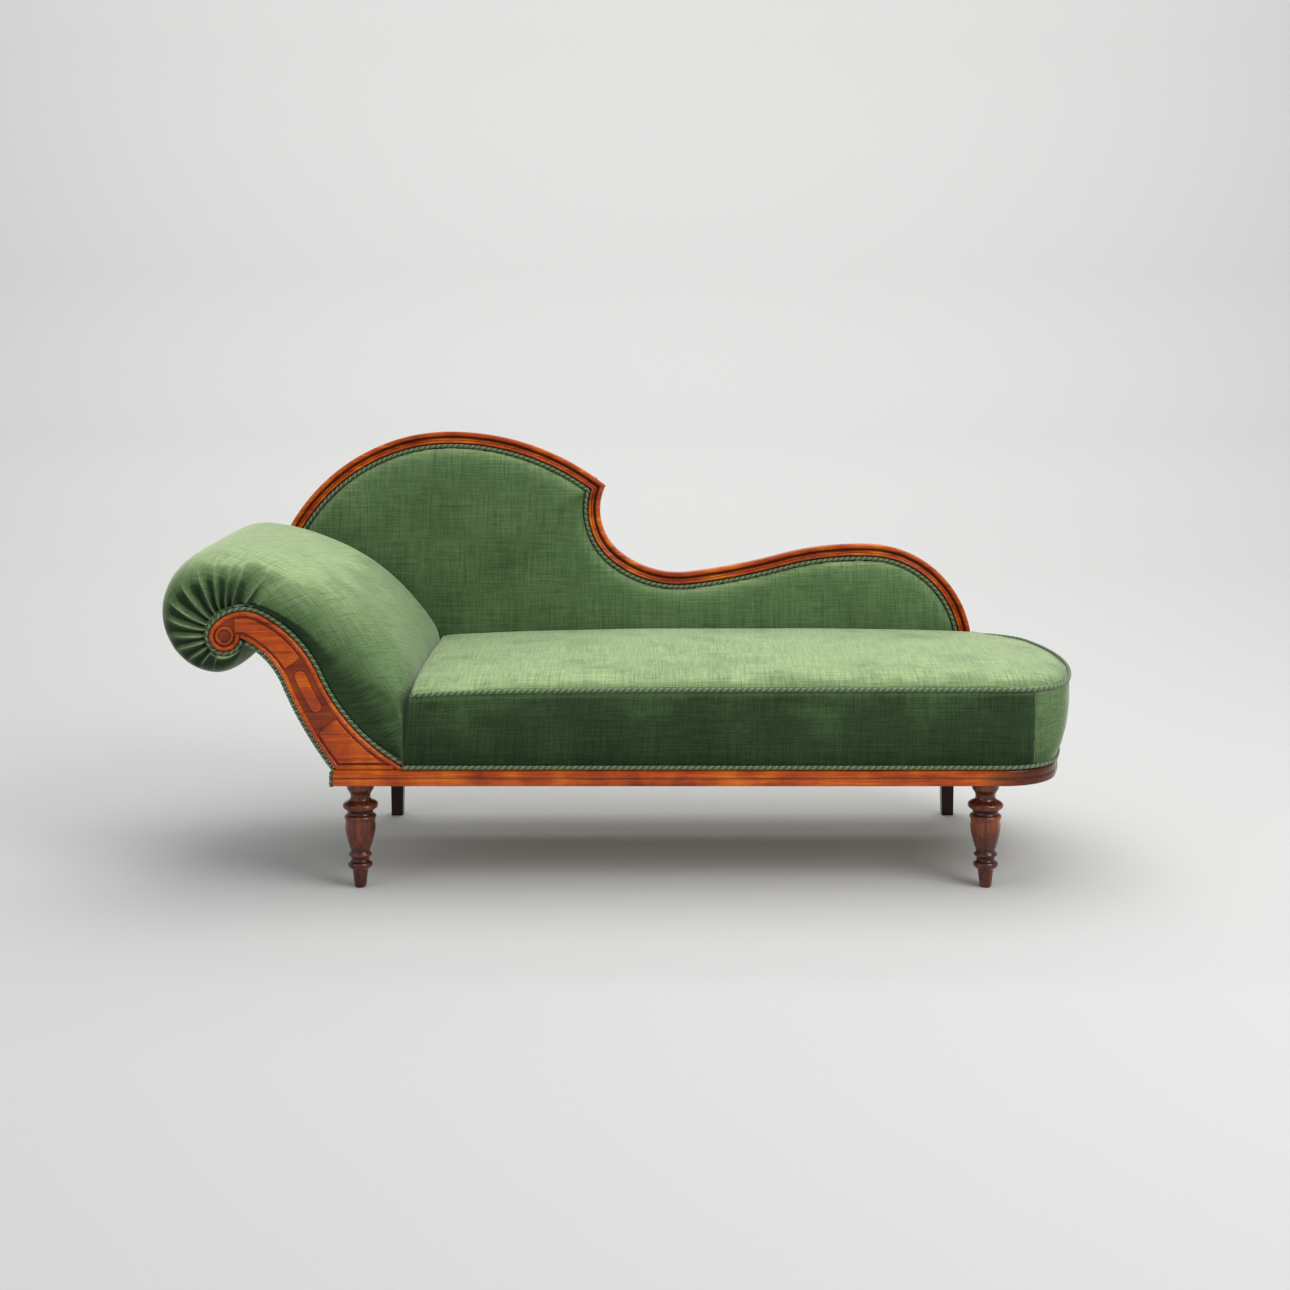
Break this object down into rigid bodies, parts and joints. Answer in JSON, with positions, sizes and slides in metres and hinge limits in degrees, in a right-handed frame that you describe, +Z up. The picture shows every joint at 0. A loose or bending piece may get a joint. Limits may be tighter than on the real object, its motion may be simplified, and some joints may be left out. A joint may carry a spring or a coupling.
{
  "type": "fainting couch",
  "caption": "Fainting couch with a scrolled, pleated head roll, a carved scroll panel, a serpentine show-wood back and a sprung velvet seat with a bowed foot end.",
  "frame": {"origin": "on the floor, under the middle of the couch's bounding box", "axes": "+X from the scrolled head end to the bowed foot end, -Y out of the front, +Z up"},
  "size_m": [1.8282, 0.6416, 0.8448],
  "materials": {
    "show_wood": "polished, orange-brown, worn at the edges",
    "leg_wood": "polished, dark brown",
    "rear_leg_wood": "dark stained",
    "frame_wood": "plain, planed",
    "velvet": "green velvet pile",
    "rope": "twisted silky rope",
    "stuffing": "hair and fibre",
    "hessian": "plain woven jute",
    "webbing": "woven jute strap",
    "lining": "plain dark green cloth",
    "spring_steel": "dull drawn wire",
    "screw_steel": "dull",
    "twine": "waxed cord"
  },
  "bodies": {
    "root": {"arm_cord": "rope", "arm_frame_front": "frame_wood", "arm_frame_rear": "frame_wood", "back_cord": "rope", "back_cover": "velvet", "back_crown_arch": "show_wood", "back_dowels": "frame_wood", "back_foot_curve": "show_wood", "back_head_arch": "show_wood", "back_hessian": "hessian", "back_hump": "show_wood", "back_outside_cover": "lining", "back_posts": "frame_wood", "back_stuffing": "stuffing", "back_sweep": "show_wood", "back_tack_rail": "frame_wood", "back_webbing": "webbing", "block_screws": "screw_steel", "centre_stretcher": "frame_wood", "corner_blocks": "frame_wood", "foot_corner_front": "frame_wood", "foot_corner_rear": "frame_wood", "foot_moulding": "show_wood", "foot_rail": "frame_wood", "front_leg_foot": "leg_wood", "front_leg_head": "leg_wood", "front_moulding": "show_wood", "front_rail": "frame_wood", "head_cover": "velvet", "head_hessian": "hessian", "head_lower_rail": "frame_wood", "head_middle_rail": "frame_wood", "head_outside_cover": "velvet", "head_rail": "frame_wood", "head_scroll_rail": "frame_wood", "head_stuffing": "stuffing", "head_webbing": "webbing", "rear_leg_foot": "rear_leg_wood", "rear_leg_head": "rear_leg_wood", "rear_rail": "frame_wood", "scroll_panel": "show_wood", "seat_base_cord": "rope", "seat_border": "velvet", "seat_hessian": "hessian", "seat_springs": "spring_steel", "seat_stuffing": "stuffing", "seat_top_cord": "rope", "seat_top_cover": "velvet", "seat_webbing": "webbing", "spring_twine": "twine"}
  },
  "joints": []
}
